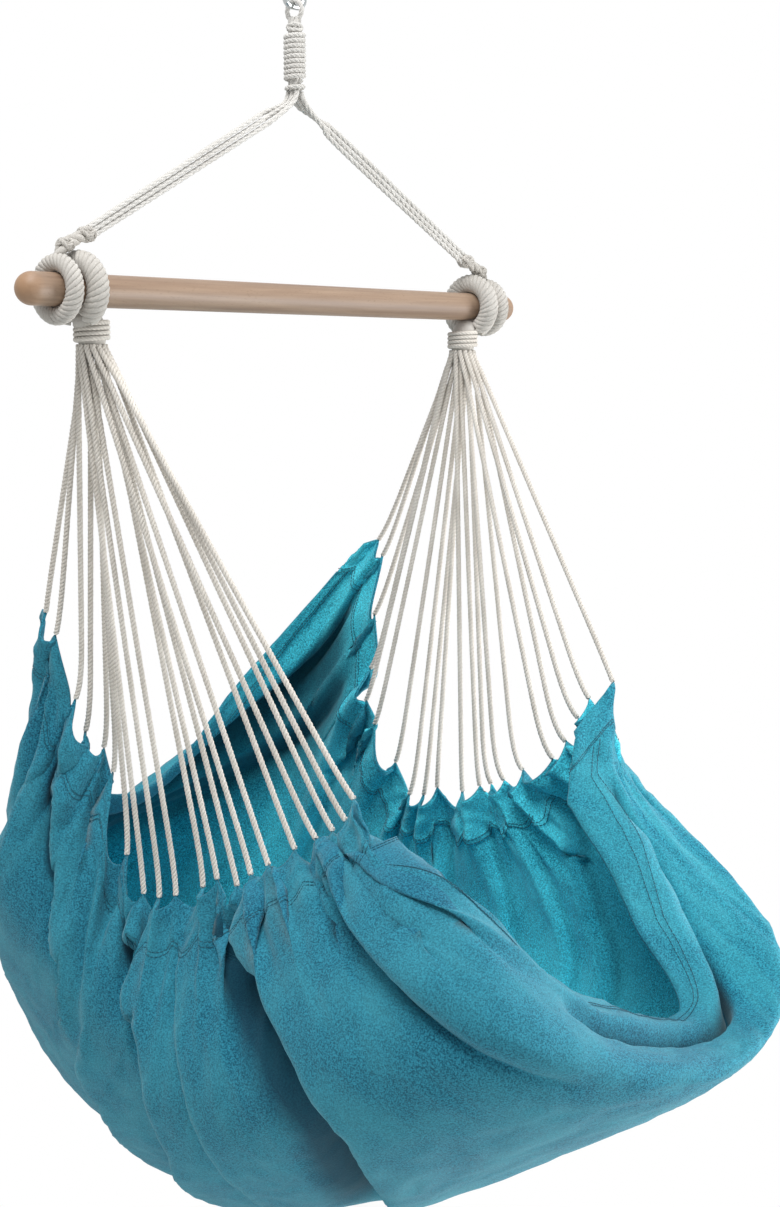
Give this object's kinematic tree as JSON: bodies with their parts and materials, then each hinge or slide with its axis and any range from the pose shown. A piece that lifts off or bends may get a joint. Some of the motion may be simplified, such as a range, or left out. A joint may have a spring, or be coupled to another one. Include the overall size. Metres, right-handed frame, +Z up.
{
  "type": "hammock chair",
  "caption": "Hanging hammock chair: a gathered cloth seat on two fans of cord, under a round wooden spreader bar that hangs by rope from a snap hook.",
  "frame": {"origin": "the top inside of the snap hook, where the chair is hung up", "axes": "+Z up, the spreader bar along X, and the sitter looks along -Y; the chair hangs below the origin"},
  "size_m": [0.9, 1.1781, 1.6321],
  "materials": {
    "steel": "zinc-plated, satin, lightly scuffed",
    "rope": "off-white twisted cotton-blend rope and cord",
    "bar_wood": "pale turned hardwood with a thin clear satin finish",
    "seat_cotton": "teal cotton cloth, matte, plain weave with stitched side hems"
  },
  "bodies": {
    "hook": {"snap_hook_body": "steel", "snap_hook_gate_pin": "steel"},
    "gate": {"snap_hook_gate": "steel", "snap_hook_gate_spring": "steel"},
    "hanger": {"rope_eye": "rope", "neck_whipping": "rope"},
    "suspension": {"suspension_strand_left_1": "rope", "suspension_strand_left_2": "rope", "suspension_strand_left_3": "rope", "suspension_strand_right_1": "rope", "suspension_strand_right_2": "rope", "suspension_strand_right_3": "rope", "hanger_ring_left": "rope", "hanger_ring_right": "rope"},
    "bar": {"spreader_bar": "bar_wood"},
    "seat": {"fan_ring_left": "rope", "fan_ring_right": "rope", "fan_whipping_left": "rope", "fan_whipping_right": "rope", "fan_cord_left_01": "rope", "fan_cord_left_02": "rope", "fan_cord_left_03": "rope", "fan_cord_left_04": "rope", "fan_cord_left_05": "rope", "fan_cord_left_06": "rope", "fan_cord_left_07": "rope", "fan_cord_left_08": "rope", "fan_cord_left_09": "rope", "fan_cord_left_10": "rope", "fan_cord_left_11": "rope", "fan_cord_left_12": "rope", "fan_cord_left_13": "rope", "fan_cord_left_14": "rope", "fan_cord_left_15": "rope", "fan_cord_left_16": "rope", "fan_cord_left_17": "rope", "fan_cord_left_18": "rope", "fan_cord_left_19": "rope", "fan_cord_left_20": "rope", "fan_cord_right_01": "rope", "fan_cord_right_02": "rope", "fan_cord_right_03": "rope", "fan_cord_right_04": "rope", "fan_cord_right_05": "rope", "fan_cord_right_06": "rope", "fan_cord_right_07": "rope", "fan_cord_right_08": "rope", "fan_cord_right_09": "rope", "fan_cord_right_10": "rope", "fan_cord_right_11": "rope", "fan_cord_right_12": "rope", "fan_cord_right_13": "rope", "fan_cord_right_14": "rope", "fan_cord_right_15": "rope", "fan_cord_right_16": "rope", "fan_cord_right_17": "rope", "fan_cord_right_18": "rope", "fan_cord_right_19": "rope", "fan_cord_right_20": "rope", "seat_cloth": "seat_cotton"}
  },
  "joints": [
    {"name": "gate_hinge", "type": "hinge", "parent": "hook", "child": "gate", "pos_m": [0.017, 0, -0.049], "axis": [0, -1, 0], "range_deg": [0, 30], "stiffness_Nm_per_rad": 0.05, "springref_deg": -5.73},
    {"name": "swing", "type": "hinge", "parent": "hook", "child": "hanger", "pos_m": [0, 0, -0.068], "axis": [1, 0, 0], "range_deg": [-40, 40]},
    {"name": "turn", "type": "hinge", "parent": "hanger", "child": "suspension", "pos_m": [0, 0, -0.172], "axis": [0, 0, 1], "range_deg": [-180, 180], "stiffness_Nm_per_rad": 0.3},
    {"name": "bar_roll", "type": "hinge", "parent": "suspension", "child": "bar", "pos_m": [0, 0, -0.43], "axis": [1, 0, 0], "continuous": true},
    {"name": "seat_tilt", "type": "hinge", "parent": "suspension", "child": "seat", "pos_m": [0, 0, -0.43], "axis": [1, 0, 0], "range_deg": [-25, 25]}
  ]
}
